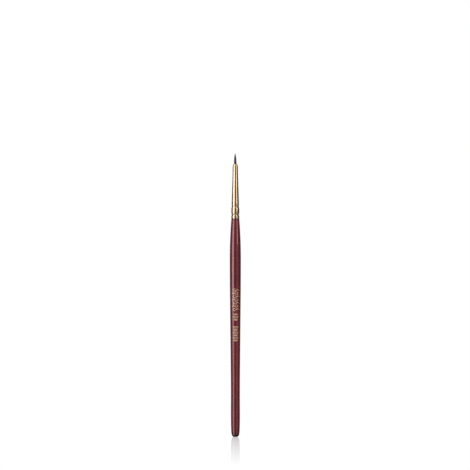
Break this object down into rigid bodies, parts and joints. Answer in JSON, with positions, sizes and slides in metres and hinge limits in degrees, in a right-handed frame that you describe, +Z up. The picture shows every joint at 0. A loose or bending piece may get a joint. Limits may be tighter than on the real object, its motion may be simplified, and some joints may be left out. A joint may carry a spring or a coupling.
{
  "type": "fine detail brush",
  "caption": "Slim round brush with a red lacquered wooden handle, a gold-coloured double-crimped ferrule and a short dark pointed tuft that bends and springs back.",
  "frame": {"origin": "centre of the small flat under the butt of the handle, the lowest point of the upright brush", "axes": "+Z runs up the brush's axis from the butt to the point of the hair; -Y is the front, where the foil ornament is stamped; +X is to the right seen from the front"},
  "size_m": [0.0066, 0.0066, 0.17],
  "materials": {
    "wood": "turned and sanded beech",
    "red_lacquer": "gloss wine-red lacquer",
    "foil": "hot-stamped copper-gold foil, satin",
    "ferrule_metal": "polished, light gold",
    "glue": "dried glue",
    "hair": "straight dark red-brown hair",
    "thread": "waxed cotton",
    "resin": "cast amber resin"
  },
  "bodies": {
    "brush": {"handle_core": "wood", "lacquer_coat": "red_lacquer", "foil_flourish": "foil", "foil_bars": "foil", "ferrule": "ferrule_metal", "tenon_glue": "glue", "hair_root": "hair", "binding_thread": "thread", "resin_plug": "resin"},
    "tuft": {"hair_tip": "hair"}
  },
  "joints": [
    {"name": "tuft_bend", "type": "hinge", "parent": "brush", "child": "tuft", "pos_m": [0, 0, 0.16425], "axis": [0, 1, 0], "range_deg": [-40, 40], "stiffness_Nm_per_rad": 0.0002}
  ]
}
